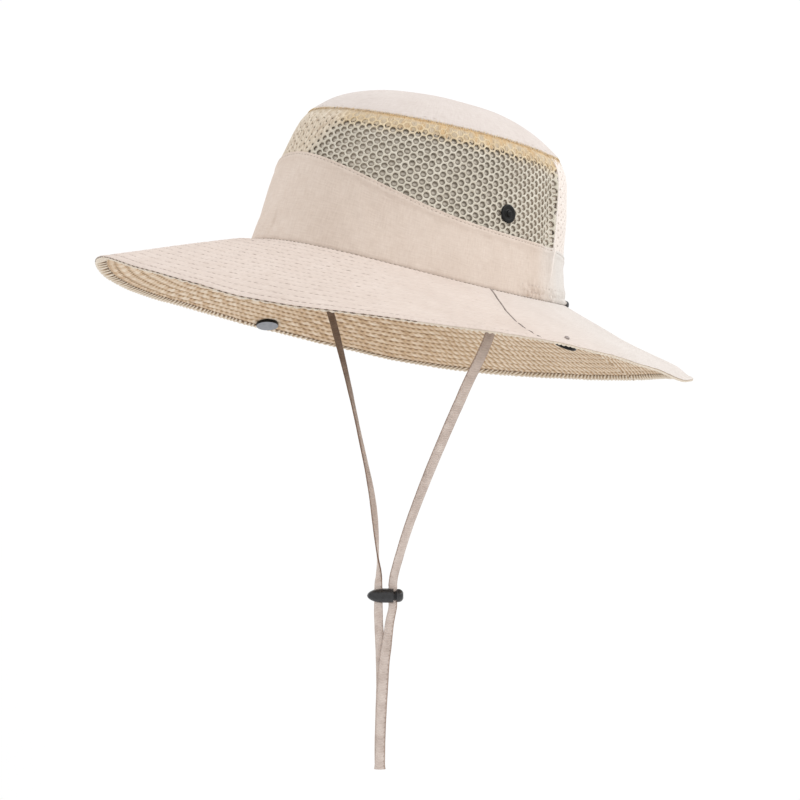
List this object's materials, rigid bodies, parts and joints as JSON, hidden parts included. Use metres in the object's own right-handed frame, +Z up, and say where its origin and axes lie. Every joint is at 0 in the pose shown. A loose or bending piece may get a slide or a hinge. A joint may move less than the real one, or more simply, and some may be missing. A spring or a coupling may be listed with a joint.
{
  "type": "boonie hat",
  "caption": "Wide-brimmed boonie hat with a netted crown, a stitched brim whose sides snap up to the crown, a rear size cord and a flat chin cord with a sprung cord lock.",
  "frame": {"origin": "centre of the head opening, where the crown meets the brim", "axes": "+Z up against gravity, -Y to the front of the hat, +X to the wearer's left; the hat is tipped back 12.1 degrees about X as worn, and the chin cord hangs along -Z"},
  "size_m": [0.3332, 0.3744, 0.4145],
  "materials": {
    "crown_cloth": "matte plain weave, sand",
    "netting": "open warp-knit net, grey-beige yarn",
    "seam_tape": "satin tape, golden",
    "sweatband_cloth": "matte cotton",
    "brim_cloth": "matte plain weave, stitched",
    "interlining": "stiff white interlining",
    "brim_lining": "puckered cream lining, stitched",
    "snap_metal": "black, semi-gloss",
    "tab_cloth": "folded fabric tab",
    "chin_cord": "flat braid, pinkish taupe",
    "size_cord": "round braid",
    "eyelet": "black, satin",
    "lock_plastic": "moulded black, satin",
    "spring_steel": "bright wire"
  },
  "bodies": {
    "hat": {"crown_top": "crown_cloth", "crown_seam_tape": "seam_tape", "crown_mesh": "netting", "crown_band": "crown_cloth", "sweatband": "sweatband_cloth", "brim_upper_front": "brim_cloth", "brim_upper_rear": "brim_cloth", "brim_core_front": "interlining", "brim_core_rear": "interlining", "brim_under_front": "brim_lining", "brim_under_rear": "brim_lining", "brim_binding_front": "brim_cloth", "brim_binding_rear": "brim_cloth", "crown_stud_left": "snap_metal", "crown_stud_right": "snap_metal", "crown_stud_back_left": "snap_metal", "crown_stud_back_right": "snap_metal", "chin_anchor_left": "tab_cloth", "chin_anchor_right": "tab_cloth", "chin_cord_left": "chin_cord", "chin_cord_right": "chin_cord", "chin_cord_tail": "chin_cord", "rear_eyelet_left": "eyelet", "rear_eyelet_right": "eyelet", "rear_drawcord": "size_cord", "rear_lock_barrel": "lock_plastic", "rear_lock_spring": "spring_steel"},
    "brim_left": {"brim_upper_left": "brim_cloth", "brim_core_left": "interlining", "brim_under_left": "brim_lining", "brim_binding_left": "brim_cloth", "snap_cap_left": "snap_metal", "snap_socket_left": "snap_metal"},
    "brim_right": {"brim_upper_right": "brim_cloth", "brim_core_right": "interlining", "brim_under_right": "brim_lining", "brim_binding_right": "brim_cloth", "snap_cap_right": "snap_metal", "snap_socket_right": "snap_metal"},
    "chin_lock": {"chin_lock_body": "lock_plastic", "chin_lock_spring": "spring_steel"},
    "chin_lock_button": {"chin_lock_button": "lock_plastic"},
    "rear_lock_plunger": {"rear_lock_plunger": "lock_plastic"}
  },
  "joints": [
    {"name": "brim_left_fold", "type": "hinge", "parent": "hat", "child": "brim_left", "pos_m": [0.1035, -0.00285, -0.0133], "axis": [0, -0.9778, 0.2096], "range_deg": [0, 129]},
    {"name": "brim_right_fold", "type": "hinge", "parent": "hat", "child": "brim_right", "pos_m": [-0.1035, -0.00285, -0.0133], "axis": [0, 0.9778, -0.2096], "range_deg": [0, 129]},
    {"name": "chin_lock_slide", "type": "slide", "parent": "hat", "child": "chin_lock", "axis": [0, 0, 1], "range_m": [-0.065, 0.1], "deforming": ["chin_cord_left", "chin_cord_right", "chin_cord_tail"]},
    {"name": "chin_lock_press", "type": "slide", "parent": "chin_lock", "child": "chin_lock_button", "axis": [-0.5635, -0.8261, 0], "range_m": [0, 0.0014], "stiffness_N_per_m": 300, "springref_m": -0.002, "deforming": ["chin_lock_spring"]},
    {"name": "rear_lock_press", "type": "slide", "parent": "hat", "child": "rear_lock_plunger", "axis": [0, -0.9265, 0.3762], "range_m": [0, 0.0014], "stiffness_N_per_m": 300, "springref_m": -0.002, "deforming": ["rear_lock_spring"]}
  ]
}
